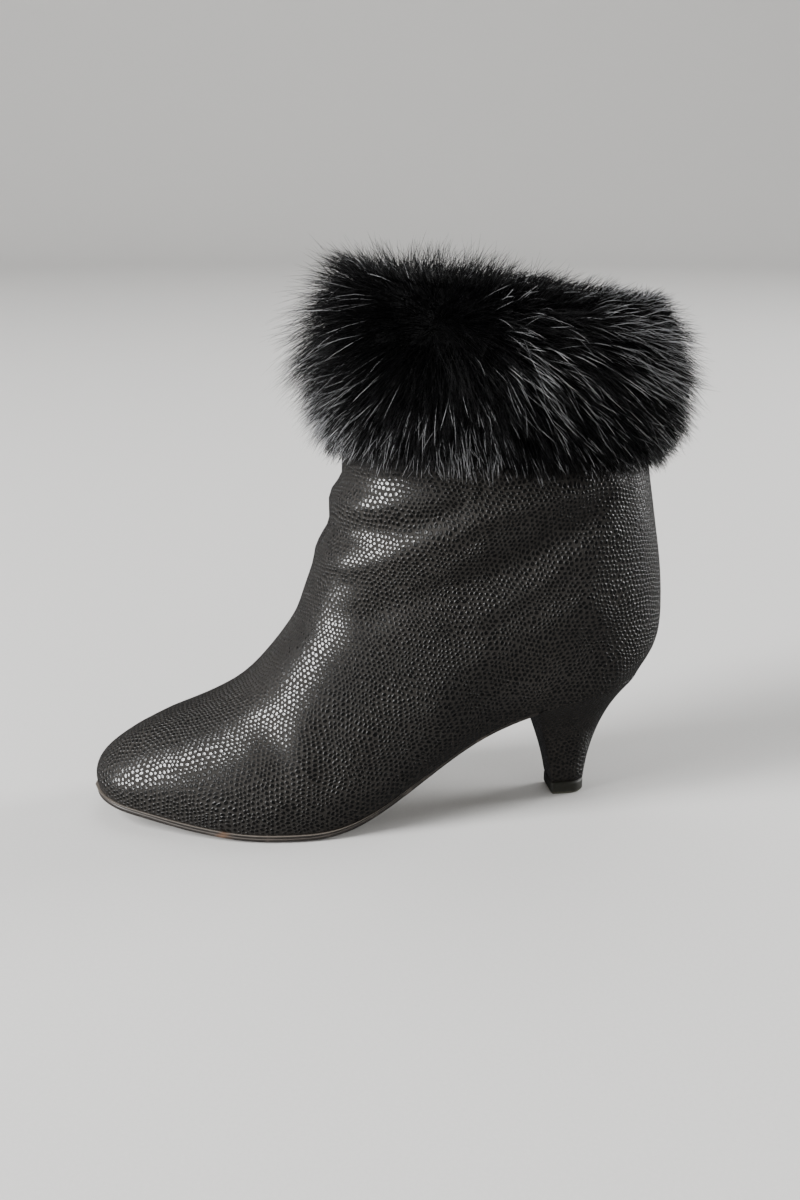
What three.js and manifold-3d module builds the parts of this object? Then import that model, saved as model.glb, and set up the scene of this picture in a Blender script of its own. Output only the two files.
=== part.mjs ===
// A left ankle boot with a tapered heel and a deep fur cuff, in millimetres.
// +Z is up, the toe points to -Y and the outer side of the foot is +X.
// "at" is a place along the boot as a share of its length, from the back of the heel to the tip of the toe.
import * as THREE from "three";
import { mergeVertices } from "three/addons/utils/BufferGeometryUtils.js";
import Module from "manifold-3d";

const wasm = await Module();
wasm.setup();

// Driving dimensions
const bootLength = 244; // back of the heel to the tip of the toe, level with the floor
const ballWidth = 83; // across the upper at the toe joints
const seatHeight = 58; // floor to the back of the heel seat
const toeSpring = 9; // lift of the toe tip off the floor
const vampHeight = 50; // crest of the vamp above the outsole, over the ball
const collarHeight = 202; // floor to the back of the collar
const collarRise = 14; // how much higher the collar is in front
const collarWidth = 84; // across the collar
const upperWall = 2.2; // outer leather and lining together
const wallRises = 14; // height over which the wall stands out from the feather edge
const soleThickness = 2.9; // outsole under the ball
const insoleThickness = 2.5;
const heelBreast = 60; // back of the heel to the heel's flat front face, at the top
const tipLength = 15.5; // the heel's top piece, heel to toe
const tipWidth = 15;
const tipThickness = 5.5;
const tipBevel = 0.8;
const tipSetForward = 33.5; // back of the heel seat to the back of the top piece
const cuffBackHeight = 62; // the fur's pelt, from its lower edge to its top, at the back
const cuffFrontHeight = 70; // the same in front
const cuffRim = 8; // how far the pelt stands above the collar
const cuffDepth = 9; // how far the pelt stands off the shaft
const lockLength = 14; // a lock of fur, root to tip
const locksRound = 28; // locks in each ring round the cuff
const clearance = 0.3; // between pieces that touch
const insoleLift = 1.4; // clearances under the insole and behind the cuff, which the facets' chords eat into
const cuffLift = 1.5;

// How finely the forms are faceted
const sideColumns = 28; // columns of the upper on each side of the foot
const upperRows = 20;
const evenStations = 0.2; // 0 crowds the columns into toe and heel, 1 spaces them evenly along the foot
const toeFan = 0.86; // where along the foot the columns start to fan out round the toe
const heelFan = 0.12; // and round the heel
const crownPower = 2.15; // 2 is an ellipse; more is squarer
const solveSteps = 28;
const outlineSpacing = 4; // between the points of a side outline
const rowCrowding = 1.6; // 1 spaces the upper's rows evenly, more crowds them down to the outsole
const slopeStep = 0.25; // over which the form's slope is measured

// The plan of the last: half widths as shares of the ball width. "feather" is the edge where upper and sole
// meet, "wide" is the widest that the wall stands out above it, and "middle" is the line that the crest follows.
const plan = [
  { at: 0.0, outerWide: 0.345, innerWide: 0.345, outerFeather: 0.315, innerFeather: 0.315, middle: 0 },
  { at: 0.12, outerWide: 0.36, innerWide: 0.355, outerFeather: 0.325, innerFeather: 0.32, middle: 0 },
  { at: 0.22, outerWide: 0.375, innerWide: 0.36, outerFeather: 0.325, innerFeather: 0.31, middle: 0 },
  { at: 0.35, outerWide: 0.4, innerWide: 0.355, outerFeather: 0.33, innerFeather: 0.26, middle: -0.005 },
  { at: 0.45, outerWide: 0.43, innerWide: 0.365, outerFeather: 0.365, innerFeather: 0.265, middle: -0.015 },
  { at: 0.55, outerWide: 0.475, innerWide: 0.4, outerFeather: 0.43, innerFeather: 0.325, middle: -0.035 },
  { at: 0.62, outerWide: 0.497, innerWide: 0.435, outerFeather: 0.46, innerFeather: 0.39, middle: -0.05 },
  { at: 0.68, outerWide: 0.497, innerWide: 0.468, outerFeather: 0.46, innerFeather: 0.435, middle: -0.065 },
  { at: 0.74, outerWide: 0.465, innerWide: 0.485, outerFeather: 0.43, innerFeather: 0.458, middle: -0.08 },
  { at: 0.8, outerWide: 0.41, innerWide: 0.478, outerFeather: 0.375, innerFeather: 0.452, middle: -0.092 },
  { at: 0.87, outerWide: 0.32, innerWide: 0.44, outerFeather: 0.288, innerFeather: 0.415, middle: -0.1 },
  { at: 0.93, outerWide: 0.225, innerWide: 0.382, outerFeather: 0.2, innerFeather: 0.36, middle: -0.1 },
  { at: 1.0, outerWide: 0.11, innerWide: 0.3, outerFeather: 0.095, innerFeather: 0.285, middle: -0.095 },
];

// The side of the outsole's top: shares of the heel's lift and of the toe's lift, the outsole's thickness as a
// share of soleThickness, and how far its edge stands out past the feather edge, as a share of the same.
const bottom = [
  { at: 0.0, lift: 1.0, spring: 0, thick: 0.6, edge: -0.3 },
  { at: 0.1, lift: 0.935, spring: 0, thick: 0.6, edge: -0.3 },
  { at: 0.22, lift: 0.82, spring: 0, thick: 0.62, edge: -0.3 },
  { at: 0.33, lift: 0.65, spring: 0, thick: 0.68, edge: -0.3 },
  { at: 0.42, lift: 0.41, spring: 0, thick: 0.76, edge: -0.15 },
  { at: 0.5, lift: 0.185, spring: 0, thick: 0.88, edge: 0.1 },
  { at: 0.575, lift: 0.035, spring: 0, thick: 1, edge: 0.25 },
  { at: 0.625, lift: 0, spring: 0, thick: 1, edge: 0.3 },
  { at: 0.735, lift: 0, spring: 0, thick: 1, edge: 0.3 },
  { at: 0.82, lift: 0, spring: 0.21, thick: 1, edge: 0.3 },
  { at: 0.9, lift: 0, spring: 0.55, thick: 1, edge: 0.3 },
  { at: 1.0, lift: 0, spring: 1, thick: 1, edge: 0.3 },
];

// The crest of the vamp from the toe's wall back to the ankle: height above the outsole as a share of
// vampHeight, and how deep the wall rounds over from it, as a share of the ball width.
const crest = [
  { at: 0.99, height: -0.3, round: 0.15 },
  { at: 0.994, height: 0, round: 0.15 },
  { at: 1.0, height: 0.11, round: 0.15 },
  { at: 0.992, height: 0.24, round: 0.17 },
  { at: 0.966, height: 0.375, round: 0.21 },
  { at: 0.922, height: 0.53, round: 0.27 },
  { at: 0.87, height: 0.7, round: 0.34 },
  { at: 0.81, height: 0.84, round: 0.42 },
  { at: 0.752, height: 1.0, round: 0.5 },
];

// Front and back of the ankle and shaft: height as a share of the way from the vamp's crest to the collar,
// front and back as places along the boot, how deep each rounds over as a share of the ball width, and the half
// width as a share of the collar width.
const shaft = [
  { height: 0.0, front: 0.752, back: 0.014, frontRound: 0.5, backRound: 0.36, wide: 0.42 },
  { height: 0.07, front: 0.705, back: 0.01, frontRound: 0.56, backRound: 0.37, wide: 0.425 },
  { height: 0.16, front: 0.662, back: 0.008, frontRound: 0.62, backRound: 0.39, wide: 0.435 },
  { height: 0.29, front: 0.625, back: 0.016, frontRound: 0.66, backRound: 0.43, wide: 0.45 },
  { height: 0.44, front: 0.594, back: 0.034, frontRound: 0.68, backRound: 0.49, wide: 0.465 },
  { height: 0.6, front: 0.564, back: 0.053, frontRound: 0.68, backRound: 0.56, wide: 0.48 },
  { height: 0.8, front: 0.537, back: 0.066, frontRound: 0.68, backRound: 0.62, wide: 0.495 },
  { height: 1.0, front: 0.522, back: 0.07, frontRound: 0.68, backRound: 0.64, wide: 0.5 },
];

// The back of the foot below the ankle, down under the heel seat: height above the floor as a share of
// seatHeight.
const counter = [
  { height: 0.8, back: 0.066, round: 0.32 },
  { height: 1.0, back: 0.044, round: 0.33 },
  { height: 1.12, back: 0.026, round: 0.345 },
  { height: 1.3, back: 0.012, round: 0.355 },
];

// How far the covered heel has drawn in from the seat's outline to the top piece's, by the share of the way
// down, behind and at the breast.
const heelTaper = [
  { down: 0.0, round: 0.0, breast: 0.0 },
  { down: 0.04, round: 0.05, breast: 0.03 },
  { down: 0.12, round: 0.23, breast: 0.11 },
  { down: 0.28, round: 0.51, breast: 0.3 },
  { down: 0.46, round: 0.72, breast: 0.52 },
  { down: 0.64, round: 0.86, breast: 0.72 },
  { down: 0.82, round: 0.955, breast: 0.89 },
  { down: 1.0, round: 1.0, breast: 1.0 },
];

// The outsole's edge from above the upper's foot to its tread: how far in and how far down, both as shares of
// the thickness. A square step under the upper, a groove, a bead and a bevel to the tread.
const soleEdge = [
  { in: 0.0, down: -0.5 },
  { in: 0.0, down: 0.18 },
  { in: 0.12, down: 0.28 },
  { in: 0.04, down: 0.42 },
  { in: 0.08, down: 0.74 },
  { in: 0.34, down: 1.0 },
];

// The pelt's section: how far off the shaft as a share of cuffDepth, and how high as a share of its height.
const pelt = [
  { up: 0.0, off: 0.35 },
  { up: 0.07, off: 0.6 },
  { up: 0.25, off: 1.0 },
  { up: 0.5, off: 1.08 },
  { up: 0.75, off: 0.95 },
  { up: 0.93, off: 0.66 },
  { up: 1.0, off: 0.3 },
];
const boreStart = 0.02; // where the pelt's inside starts, as a share of its height

// Rings of locks from the lowest: how high on the pelt the locks grow, how far they lean down from straight
// out, in degrees, and their length as a share of lockLength.
const lockRings = [
  { up: 0.1, lean: 58, long: 0.66 },
  { up: 0.28, lean: 46, long: 0.95 },
  { up: 0.47, lean: 30, long: 1.05 },
  { up: 0.66, lean: 6, long: 1.0 },
  { up: 0.84, lean: -40, long: 0.8 },
];
const leanScatter = 24; // degrees between the most and the least that the locks of a ring lean
const sweepScatter = 0.9; // how far they sweep to the sides, from one side to the other, as a slope
const shortestLock = 0.7; // shares of a ring's length
const longestLock = 1.25;

// Rows of one ring of locks: height above where they grow, and how much of a lock's length stands out there.
const lockRows = [
  { above: -0.03, out: 0.0 },
  { above: 0.0, out: 1.0 },
  { above: 0.06, out: 0.55 },
];
const lockSides = [1, 0.4, 0, 0.4]; // how much of a lock's length stands out, in four columns from its ridge

const lerp = THREE.MathUtils.lerp;
const clamp = THREE.MathUtils.clamp;
const smoothstep = THREE.MathUtils.smoothstep;

// A smooth curve through one column of a table, that stays between its rows.
function column(rows, by, key) {
  const xs = rows.map((row) => row[by]);
  const ys = rows.map((row) => row[key]);
  const steps = xs.slice(1).map((x, i) => (ys[i + 1] - ys[i]) / (x - xs[i]));
  const slopes = xs.map((_, i) => {
    const before = steps[Math.max(i - 1, 0)];
    const after = steps[Math.min(i, steps.length - 1)];
    return before * after <= 0 ? 0 : (2 * before * after) / (before + after);
  });
  return (x) => {
    const inside = clamp(x, xs[0], xs[xs.length - 1]);
    let i = 0;
    while (i < steps.length - 1 && inside > xs[i + 1]) i += 1;
    const width = xs[i + 1] - xs[i];
    const s = (inside - xs[i]) / width;
    const rise = s * s * (3 - 2 * s);
    const bend = s * (1 - s) * width;
    return lerp(ys[i], ys[i + 1], rise) + bend * ((1 - s) * slopes[i] - s * slopes[i + 1]);
  };
}

const planColumn = Object.fromEntries(Object.keys(plan[0]).map((key) => [key, column(plan, "at", key)]));
const bottomColumn = Object.fromEntries(Object.keys(bottom[0]).map((key) => [key, column(bottom, "at", key)]));
const shaftWide = column(shaft, "height", "wide");

const vampTop = soleThickness + vampHeight;

function placeAlong(y) {
  return -y / bootLength;
}

// Height of the outsole's top surface.
function soleTop(y) {
  const at = placeAlong(y);
  const heelLift = seatHeight - soleThickness;
  return soleThickness + heelLift * bottomColumn.lift(at) + toeSpring * bottomColumn.spring(at);
}

function soleDepth(y) {
  return soleThickness * bottomColumn.thick(placeAlong(y));
}

// Height of the collar, which slopes up towards the front.
function collarTop(y) {
  const frontAt = shaft[shaft.length - 1].front;
  return collarHeight + (collarRise * placeAlong(y)) / frontAt;
}

// A side outline as closely spaced points, each with how deep the wall rounds over from it.
function outline(points, spacing) {
  const curve = new THREE.CatmullRomCurve3(
    points.map((p) => new THREE.Vector3(p.y, p.z, p.round)),
    false,
    "centripetal",
  );
  const count = Math.ceil(curve.getLength() / spacing);
  return curve.getSpacedPoints(count).map((p) => ({ y: p.x, z: p.y, round: p.z }));
}

const shaftHeightOf = (share) => lerp(vampTop, collarHeight + collarRise, share);
const overTheCollar = 30; // the outlines run on past the collar

const frontPoints = [
  ...crest.slice(0, -1).map((row) => ({
    y: -row.at * bootLength,
    z: soleTop(-Math.min(row.at, 1) * bootLength) + row.height * vampHeight,
    round: row.round * ballWidth,
  })),
  ...shaft.map((row) => ({
    y: -row.front * bootLength,
    z: shaftHeightOf(row.height),
    round: row.frontRound * ballWidth,
  })),
];
const lastFront = frontPoints[frontPoints.length - 1];
const frontLine = outline([...frontPoints, { ...lastFront, z: lastFront.z + overTheCollar }], outlineSpacing);

const backPoints = [
  ...counter.map((row) => ({ y: -row.back * bootLength, z: row.height * seatHeight, round: row.round * ballWidth })),
  ...shaft
    .filter((row) => shaftHeightOf(row.height) > counter[counter.length - 1].height * seatHeight + outlineSpacing)
    .map((row) => ({ y: -row.back * bootLength, z: shaftHeightOf(row.height), round: row.backRound * ballWidth })),
];
const lastBack = backPoints[backPoints.length - 1];
const backLine = outline([...backPoints, { ...lastBack, z: lastBack.z + overTheCollar }], outlineSpacing);

// How far inside a side outline a point is, as a share of the depth over which the wall rounds there. "towards" is
// 1 where the boot lies to the left of the line's direction, and -1 where it lies to the right.
function depthShare(line, towards, y, z) {
  let best = Infinity;
  let share = 0;
  for (let i = 0; i < line.length - 1; i += 1) {
    const p = line[i];
    const q = line[i + 1];
    const alongY = q.y - p.y;
    const alongZ = q.z - p.z;
    const reach = clamp(((y - p.y) * alongY + (z - p.z) * alongZ) / (alongY ** 2 + alongZ ** 2), 0, 1);
    const offY = y - lerp(p.y, q.y, reach);
    const offZ = z - lerp(p.z, q.z, reach);
    const distance = Math.hypot(offY, offZ);
    if (distance < best) {
      best = distance;
      const side = Math.sign(alongY * offZ - alongZ * offY) * towards;
      share = (side * distance) / lerp(p.round, q.round, reach);
    }
  }
  return share;
}

// How far the form has turned from the foot's plan into the leg's: 0 along the feather edge and over the toe,
// 1 on the shaft.
const legStarts = 0.1; // shares of vampHeight above the outsole
const legFull = 1.9;
const toeStarts = 0.6; // places along the boot
const toeFull = 0.82;
function legShareAt(y, z) {
  const risen = smoothstep(z - soleTop(y), legStarts * vampHeight, legFull * vampHeight);
  return risen * (1 - smoothstep(placeAlong(y), toeStarts, toeFull));
}

function middleLine(y, z) {
  return planColumn.middle(placeAlong(y)) * ballWidth * (1 - legShareAt(y, z));
}

// Half width of the form on one side, measured from its middle line, before it rounds over to front and back.
function halfWidth(side, y, z) {
  const at = placeAlong(y);
  const prefix = side > 0 ? "outer" : "inner";
  const wide = planColumn[prefix + "Wide"](at) * ballWidth;
  const feather = planColumn[prefix + "Feather"](at) * ballWidth;
  const tucked = 1 - Math.min((z - soleTop(y)) / wallRises, 1);
  const foot = lerp(wide, feather, tucked * tucked);
  const leg = shaftWide((z - vampTop) / (collarHeight - vampTop)) * collarWidth;
  return lerp(foot, leg, legShareAt(y, z)) - side * middleLine(y, z);
}

// Below 0 inside the boot's outer form, 0 on it and above 0 outside.
function formValue(x, y, z) {
  const off = x - middleLine(y, z);
  const across = Math.abs(off) / halfWidth(Math.sign(off) || 1, y, z);
  const front = Math.max(1 - depthShare(frontLine, -1, y, z), 0);
  const back = Math.max(1 - depthShare(backLine, 1, y, z), 0);
  return across ** crownPower + front ** crownPower + back ** crownPower - 1;
}

// Distance from the outer form, below 0 inside it.
function formDistance(x, y, z) {
  const value = formValue(x, y, z);
  const h = slopeStep;
  const slope = Math.hypot(
    formValue(x + h, y, z) - formValue(x - h, y, z),
    formValue(x, y + h, z) - formValue(x, y - h, z),
    formValue(x, y, z + h) - formValue(x, y, z - h),
  );
  return (value * 2 * h) / Math.max(slope, 1e-6);
}

// The form is searched outwards along level rays. On the shaft they fan out from an upright line through the
// ankle.
const ankleAt = 0.29;
const ankle = new THREE.Vector2(0, -ankleAt * bootLength);
function legRay(turn) {
  return { from: ankle, towards: new THREE.Vector2(Math.sin(turn), -Math.cos(turn)) };
}

// Along the foot they run straight out to the sides, and fan out round the toe and the heel.
const allColumns = 2 * sideColumns;
const columnTurns = Array.from({ length: allColumns }, (_, j) => (2 * Math.PI * j) / allColumns);
const legRays = columnTurns.map(legRay);
const footRays = columnTurns.map((turn) => {
  const back = -counter[1].back * bootLength;
  const front = -crest[1].at * bootLength;
  const even = 1 - Math.min(turn, 2 * Math.PI - turn) / Math.PI;
  const y = lerp(back, front, lerp((1 + Math.cos(turn)) / 2, even, evenStations));
  const z = soleTop(y);
  const side = turn <= Math.PI ? 1 : -1;
  const frontShare = Math.max(1 - depthShare(frontLine, -1, y, z), 0);
  const backShare = Math.max(1 - depthShare(backLine, 1, y, z), 0);
  const across = Math.max(1 - frontShare ** crownPower - backShare ** crownPower, 0) ** (1 / crownPower);
  const edge = new THREE.Vector2(middleLine(y, z) + side * across * halfWidth(side, y, z), y);
  const fromY = clamp(y, -toeFan * bootLength, -heelFan * bootLength);
  const from = new THREE.Vector2(middleLine(fromY, z), fromY);
  return { from, towards: edge.sub(from).normalize() };
});

// The point on a ray, at a height given by level(y), where the form's distance is "offset".
function formPoint(ray, level, offset) {
  const at = (reach) => {
    const y = ray.from.y + ray.towards.y * reach;
    return new THREE.Vector3(ray.from.x + ray.towards.x * reach, y, level(y));
  };
  const search = (from, to, isInside) => {
    let near = from;
    let far = to;
    for (let i = 0; i < solveSteps; i += 1) {
      const reach = (near + far) / 2;
      const { x, y, z } = at(reach);
      if (isInside(x, y, z)) near = reach;
      else far = reach;
    }
    return near;
  };
  const wall = search(0, bootLength, (x, y, z) => formValue(x, y, z) < 0);
  if (offset === 0) return at(wall);
  const span = 4 * Math.abs(offset);
  const from = offset < 0 ? wall - span : wall;
  return at(search(from, from + span, (x, y, z) => formDistance(x, y, z) < offset));
}

// A loop round the form at a share of the way from the outsole to the collar.
const legRaysFrom = 0.6; // the share from which the rays are the leg's alone
function loopAt(share, offset) {
  const level = (y) => lerp(soleTop(y), collarTop(y), share);
  const legShare = smoothstep(share, 0, legRaysFrom);
  return footRays.map((footRay, j) => {
    const from = footRay.from.clone().lerp(legRays[j].from, legShare);
    const towards = footRay.towards.clone().lerp(legRays[j].towards, legShare).normalize();
    return formPoint({ from, towards }, level, offset);
  });
}

const rim = loopAt(0, 0); // the outer edge of the face that the upper stands on
const innerRim = loopAt(0, -upperWall);

// Walls between loops of points that run anticlockwise from above, bottom loop first.
function wallFaces(rows, columns, closedRows) {
  const faces = [];
  const last = closedRows ? rows : rows - 1;
  for (let i = 0; i < last; i += 1) {
    for (let j = 0; j < columns; j += 1) {
      const right = (j + 1) % columns;
      const a = i * columns + j;
      const b = i * columns + right;
      const c = ((i + 1) % rows) * columns + right;
      const d = ((i + 1) % rows) * columns + j;
      faces.push(a, b, c, a, c, d);
    }
  }
  return faces;
}

// A lid made of strips across a loop, from its first point to the one opposite.
function lidFaces(first, columns, up) {
  const faces = [];
  const add = (a, b, c) => faces.push(...(up ? [a, b, c] : [a, c, b]));
  for (let j = 0; j < columns / 2; j += 1) {
    const a = first + j;
    const b = first + j + 1;
    const c = first + ((columns - j - 1) % columns);
    const d = first + ((columns - j) % columns);
    if (b !== c) add(a, b, c);
    if (a !== d) add(a, c, d);
  }
  return faces;
}

function geometryOf(points, faces) {
  const geometry = new THREE.BufferGeometry();
  geometry.setFromPoints(points);
  geometry.setIndex(faces);
  return geometry;
}

// A solid from stacked loops, closed by a lid at each end.
function stackedSolid(loops) {
  const columns = loops[0].length;
  const faces = [
    ...wallFaces(loops.length, columns, false),
    ...lidFaces(0, columns, false),
    ...lidFaces((loops.length - 1) * columns, columns, true),
  ];
  return geometryOf(loops.flat(), faces);
}

// A ring-shaped solid from loops that go up its outside and down its inside.
function ringSolid(loops) {
  return geometryOf(loops.flat(), wallFaces(loops.length, loops[0].length, true));
}

function toManifold(geometry) {
  const bare = geometry.index ? geometry.clone() : geometry;
  bare.deleteAttribute("normal");
  bare.deleteAttribute("uv");
  const merged = mergeVertices(bare, 1e-4);
  const mesh = new wasm.Mesh({
    numProp: 3,
    vertProperties: merged.attributes.position.array,
    triVerts: new Uint32Array(merged.index.array),
  });
  return new wasm.Manifold(mesh);
}

function fromManifold(solid) {
  const mesh = solid.getMesh();
  const geometry = new THREE.BufferGeometry();
  geometry.setAttribute("position", new THREE.BufferAttribute(new Float32Array(mesh.vertProperties), 3));
  geometry.setIndex(new THREE.BufferAttribute(new Uint32Array(mesh.triVerts), 1));
  return geometry;
}

const shares = Array.from({ length: upperRows + 1 }, (_, i) => (i / upperRows) ** rowCrowding);

function upperGeometry() {
  const wall = (offset) => {
    return shares.map((share) => {
      return loopAt(share, offset).map((point) => point.setZ(point.z + clearance * (1 - share)));
    });
  };
  return ringSolid([...wall(0), ...wall(-upperWall).reverse()]);
}

function insoleGeometry() {
  const level = (y) => soleTop(y) + insoleLift * clearance;
  const under = innerRim.map((point, j) => movedOut(point, j, -clearance, level));
  const over = under.map((point) => point.clone().setZ(point.z + insoleThickness));
  return stackedSolid([under, over]);
}

// A point of a rim moved out along its column's ray.
function movedOut(point, j, distance, level) {
  const out = footRays[j].towards;
  const y = point.y + out.y * distance;
  return new THREE.Vector3(point.x + out.x * distance, y, level(y));
}

// Everything above the face that the upper and the insole stand on.
const cutterReach = 16; // past the rim
function aboveSole() {
  const beyond = rim.map((point, j) => movedOut(point, j, cutterReach, soleTop));
  const over = beyond.map((point) => point.clone().setZ(point.z + seatHeight));
  return toManifold(stackedSolid([innerRim, rim, beyond, over]));
}

function outsoleGeometry() {
  const loops = soleEdge.map((row) => {
    const level = (y) => soleTop(y) - soleDepth(y) * row.down;
    return rim.map((point, j) => {
      const out = bottomColumn.edge(placeAlong(point.y)) - row.in;
      return movedOut(point, j, soleThickness * out, level);
    });
  });
  const whole = toManifold(stackedSolid(loops.reverse()));
  const heelEnd = new THREE.BoxGeometry(2 * ballWidth, 2 * heelBreast, 4 * seatHeight);
  heelEnd.translate(0, -clearance, 0);
  return fromManifold(whole.subtract(aboveSole()).subtract(toManifold(heelEnd)));
}

// The covered heel's outline at the seat, from the breast's outer corner round the back to its inner corner.
function seatOutline() {
  const loop = [];
  const corner = (side) => {
    const y = -heelBreast;
    const z = soleTop(y);
    return new THREE.Vector3(middleLine(y, z) + side * halfWidth(side, y, z), y, z);
  };
  loop.push(corner(1));
  loop.push(...rim.filter((point) => point.y > -heelBreast + 2 * clearance));
  loop.push(corner(-1));
  return loop;
}

// The top piece's outline: straight across the breast, half round behind. It has as many points as the seat's.
function tipOutline(count, inset, z) {
  const loop = [];
  const half = tipWidth / 2 - inset;
  const breast = -(tipSetForward + tipLength) + inset;
  const middle = -(tipSetForward + tipWidth / 2);
  const straight = middle - breast;
  const round = Math.PI * half;
  for (let j = 0; j < count; j += 1) {
    const along = (j / (count - 1)) * (2 * straight + round);
    if (along < straight) loop.push(new THREE.Vector3(half, breast + along, z));
    else if (along > straight + round) loop.push(new THREE.Vector3(-half, middle - (along - straight - round), z));
    else {
      const turn = (along - straight) / half;
      loop.push(new THREE.Vector3(half * Math.cos(turn), middle + half * Math.sin(turn), z));
    }
  }
  return loop;
}

// Lids across a heel outline: its first and last points are the two corners of the breast.
function heelSolid(loops) {
  const columns = loops[0].length;
  const faces = wallFaces(loops.length, columns, false);
  const lid = (first, up) => {
    for (let j = 0; j < Math.floor((columns - 1) / 2); j += 1) {
      const a = first + j;
      const b = first + j + 1;
      const c = first + columns - 2 - j;
      const d = first + columns - 1 - j;
      if (b !== c) faces.push(...(up ? [a, b, c] : [a, c, b]));
      faces.push(...(up ? [a, c, d] : [a, d, c]));
    }
  };
  lid(0, false);
  lid((loops.length - 1) * columns, true);
  return geometryOf(loops.flat(), faces);
}

function heelGeometry() {
  const seat = seatOutline();
  const foot = tipOutline(seat.length, 0, tipThickness + clearance);
  const roundTaper = column(heelTaper, "down", "round");
  const breastTaper = column(heelTaper, "down", "breast");
  const loops = heelTaper.map((row) => {
    return seat.map((top, j) => {
      const end = foot[j];
      const towardsBack = clamp((top.y + heelBreast) / heelBreast, 0, 1);
      const draw = lerp(breastTaper(row.down), roundTaper(row.down), Math.sqrt(towardsBack));
      return new THREE.Vector3(
        lerp(top.x, end.x, roundTaper(row.down)),
        lerp(top.y, end.y, draw),
        lerp(top.z, end.z, row.down),
      );
    });
  });
  const overSeat = seat.map((top) => top.clone().setZ(top.z + soleThickness));
  return fromManifold(toManifold(heelSolid([...loops.reverse(), overSeat])).subtract(aboveSole()));
}

function topPieceGeometry() {
  const count = seatOutline().length;
  return heelSolid([
    tipOutline(count, tipBevel, 0),
    tipOutline(count, 0, tipBevel),
    tipOutline(count, 0, tipThickness),
  ]);
}

// Directions round the cuff, four columns to a lock.
const cuffColumns = lockSides.length * locksRound;
const cuffTurns = Array.from({ length: cuffColumns }, (_, c) => (2 * Math.PI * c) / cuffColumns);

// The height of a share of the pelt.
function peltLevel(up) {
  return (y) => {
    const forward = placeAlong(y) / shaft[shaft.length - 1].front;
    return collarTop(y) + cuffRim - lerp(cuffBackHeight, cuffFrontHeight, forward) * (1 - up);
  };
}

// A row of the pelt's outer surface, with the locks standing out of it.
const goldenStep = 0.618034;
const sweepStep = 5.3; // so that sweep and length don't follow the lean
const lengthStep = 3.1;
function peltLoop(up, ring, row) {
  const off = column(pelt, "up", "off")(up) * cuffDepth;
  return cuffTurns.map((turn, c) => {
    const wall = formPoint(legRay(turn), peltLevel(up), 0);
    const flat = new THREE.Vector3(wall.x - ankle.x, wall.y - ankle.y, 0).normalize();
    const point = wall.addScaledVector(flat, off);
    if (!ring || row.out === 0) return point;
    const stagger = ring.index % 2 ? lockSides.length / 2 : 0;
    const shifted = (c + stagger) % cuffColumns;
    const side = lockSides[shifted % lockSides.length];
    const lock = Math.round(shifted / lockSides.length) % locksRound;
    // Golden steps make the locks differ with no pattern to the eye.
    const scatter = ((ring.index * locksRound + lock) * goldenStep) % 1;
    const lean = THREE.MathUtils.degToRad(ring.lean + leanScatter * (scatter - 0.5));
    const sweep = sweepScatter * (((scatter * sweepStep) % 1) - 0.5);
    const along = new THREE.Vector3(-flat.y, flat.x, 0);
    const out = flat.multiplyScalar(Math.cos(lean)).addScaledVector(along, sweep).setZ(-Math.sin(lean));
    const length = lockLength * ring.long * lerp(shortestLock, longestLock, (scatter * lengthStep) % 1);
    return point.addScaledVector(out.normalize(), length * side * row.out);
  });
}

// A loop of the upper's, with a point added in the middle of each column.
function boreLoop(loop) {
  return loop.flatMap((point, j) => [point, point.clone().lerp(loop[(j + 1) % loop.length], 0.5)]);
}

const topRow = 0.95; // the row between the highest locks and the rim
function cuffGeometry() {
  const outside = [peltLoop(0)];
  lockRings.forEach((ring, index) => {
    lockRows.forEach((row) => outside.push(peltLoop(ring.up + row.above, { ...ring, index }, row)));
  });
  outside.push(peltLoop(topRow), peltLoop(1));
  const walls = shares.map((share) => loopAt(share, cuffLift * clearance));
  const collar = walls[walls.length - 1];
  const bottom = collar.map((top, j) => {
    const level = peltLevel(boreStart)(top.y);
    const above = walls.findIndex((wall) => wall[j].z > level);
    const low = walls[above - 1][j];
    const high = walls[above][j];
    return low.clone().lerp(high, (level - low.z) / (high.z - low.z));
  });
  const isAbove = (wall) => wall.every((point, j) => point.z > bottom[j].z + cuffDepth);
  const between = walls.slice(0, -1).filter(isAbove);
  const top = collar.map((point) => point.clone().setZ(point.z + cuffRim));
  const inside = [top, collar, ...between.reverse(), bottom].map(boreLoop);
  return ringSolid([...outside, ...inside]);
}

function piece(name, geometry, color, roughness, metalness) {
  const mesh = new THREE.Mesh(geometry, new THREE.MeshStandardMaterial({ color, roughness, metalness }));
  mesh.name = name;
  return mesh;
}

const boot = new THREE.Group();
boot.add(piece("upper", upperGeometry(), 0x141312, 0.5, 0));
boot.add(piece("insole", insoleGeometry(), 0x2a2623, 0.8, 0));
boot.add(piece("outsole", outsoleGeometry(), 0x1d1a18, 0.6, 0));
boot.add(piece("heel", heelGeometry(), 0x141312, 0.5, 0));
boot.add(piece("heel_top_piece", topPieceGeometry(), 0x100f0e, 0.7, 0));
boot.add(piece("fur_cuff", cuffGeometry(), 0x0b0b0b, 1, 0));

// The frame's origin is under the middle of the boot's box, on the floor.
const box = new THREE.Box3().setFromObject(boot, true);
boot.position.set(-(box.min.x + box.max.x) / 2, -(box.min.y + box.max.y) / 2, 0);

const part = new THREE.Group();
part.add(boot);

export default part;
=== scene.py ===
"""A lady's left ankle boot in pebbled black leather with a deep fur cuff, standing on a pale studio floor."""

import math

import bmesh
import bpy
import numpy as np
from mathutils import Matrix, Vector, noise
from mathutils.bvhtree import BVHTree


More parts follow.
